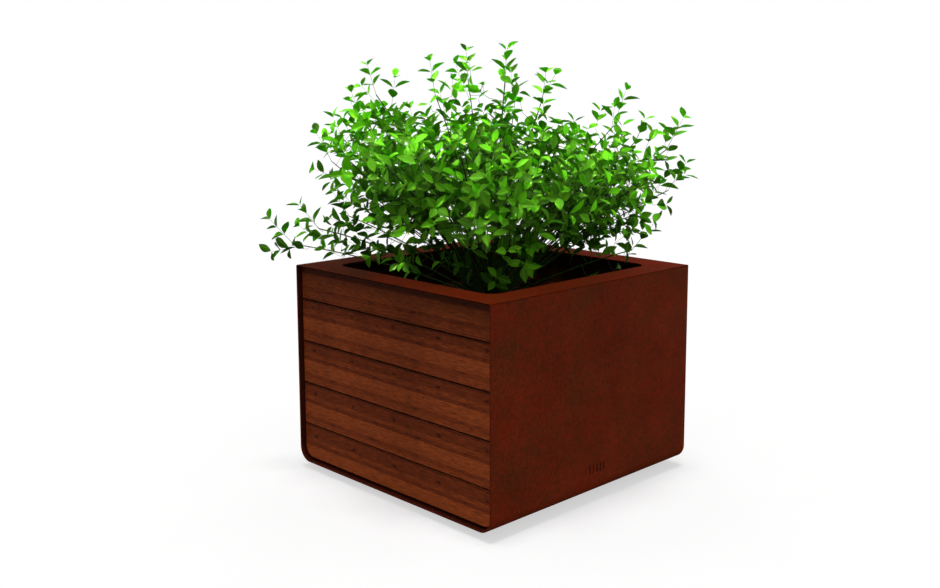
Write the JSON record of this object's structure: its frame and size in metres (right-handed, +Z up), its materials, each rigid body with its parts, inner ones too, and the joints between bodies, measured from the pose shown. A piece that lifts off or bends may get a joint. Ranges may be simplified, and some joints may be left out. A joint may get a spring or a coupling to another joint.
{
  "type": "planter box",
  "caption": "Square weathering-steel street planter with recessed horizontal wooden boards on front and back, a flat rim, levelling feet and a leafy shrub in soil.",
  "frame": {"origin": "on the floor, under the middle of the square box", "axes": "+Z up; the boards face -Y (front) and +Y (back); the steel sides face -X and +X"},
  "size_m": [1.1994, 1.1992, 1.398],
  "materials": {
    "weathering_steel": "matte",
    "boards": "satin",
    "rails": "matte",
    "bearers": "matte",
    "liner": "matte",
    "spouts": "matte",
    "zinc": "satin",
    "gravel": "matte",
    "fleece": "matte",
    "soil": "matte",
    "root_ball": "matte",
    "stems": "satin",
    "leaves": "satin",
    "foot_pads": "matte"
  },
  "bodies": {
    "planter": {"shell": "weathering_steel", "top_rim": "weathering_steel", "front_end_panel": "weathering_steel", "back_end_panel": "weathering_steel", "front_rail_left": "rails", "front_rail_middle": "rails", "front_rail_right": "rails", "back_rail_left": "rails", "back_rail_middle": "rails", "back_rail_right": "rails", "front_board_1": "boards", "front_board_2": "boards", "front_board_3": "boards", "front_board_4": "boards", "front_board_5": "boards", "back_board_1": "boards", "back_board_2": "boards", "back_board_3": "boards", "back_board_4": "boards", "back_board_5": "boards", "front_board_screws": "zinc", "back_board_screws": "zinc", "rail_bolts": "zinc", "bearer_left": "bearers", "bearer_right": "bearers", "liner_tub": "liner", "drain_spouts": "spouts", "drainage_gravel": "gravel", "filter_fleece": "fleece", "soil": "soil", "root_ball": "root_ball", "root_collar": "stems", "shrub_stems": "stems", "shrub_leaves": "leaves", "foot_boss_1": "zinc", "foot_boss_2": "zinc", "foot_boss_3": "zinc", "foot_boss_4": "zinc"},
    "foot_1": {"foot_pad_1": "foot_pads"},
    "spindle_1": {"foot_spindle_1": "zinc"},
    "foot_2": {"foot_pad_2": "foot_pads"},
    "spindle_2": {"foot_spindle_2": "zinc"},
    "foot_3": {"foot_pad_3": "foot_pads"},
    "spindle_3": {"foot_spindle_3": "zinc"},
    "foot_4": {"foot_pad_4": "foot_pads"},
    "spindle_4": {"foot_spindle_4": "zinc"}
  },
  "joints": [
    {"name": "foot_1_height", "type": "slide", "parent": "planter", "child": "foot_1", "axis": [0, 0, -1], "range_m": [0, 0.015]},
    {"name": "spindle_1_turn", "type": "hinge", "parent": "foot_1", "child": "spindle_1", "pos_m": [0.275, -0.275, 0.02], "axis": [0, 0, -1], "range_deg": [0, 3090]},
    {"name": "foot_2_height", "type": "slide", "parent": "planter", "child": "foot_2", "axis": [0, 0, -1], "range_m": [0, 0.015]},
    {"name": "spindle_2_turn", "type": "hinge", "parent": "foot_2", "child": "spindle_2", "pos_m": [0.275, 0.275, 0.02], "axis": [0, 0, -1], "range_deg": [0, 3090]},
    {"name": "foot_3_height", "type": "slide", "parent": "planter", "child": "foot_3", "axis": [0, 0, -1], "range_m": [0, 0.015]},
    {"name": "spindle_3_turn", "type": "hinge", "parent": "foot_3", "child": "spindle_3", "pos_m": [-0.275, 0.275, 0.02], "axis": [0, 0, -1], "range_deg": [0, 3090]},
    {"name": "foot_4_height", "type": "slide", "parent": "planter", "child": "foot_4", "axis": [0, 0, -1], "range_m": [0, 0.015]},
    {"name": "spindle_4_turn", "type": "hinge", "parent": "foot_4", "child": "spindle_4", "pos_m": [-0.275, -0.275, 0.02], "axis": [0, 0, -1], "range_deg": [0, 3090]}
  ],
  "couplings": [
    {"joint": "spindle_1_turn", "follows": "foot_1_height", "rad_per_m": 3590.4},
    {"joint": "spindle_2_turn", "follows": "foot_2_height", "rad_per_m": 3590.4},
    {"joint": "spindle_3_turn", "follows": "foot_3_height", "rad_per_m": 3590.4},
    {"joint": "spindle_4_turn", "follows": "foot_4_height", "rad_per_m": 3590.4}
  ]
}
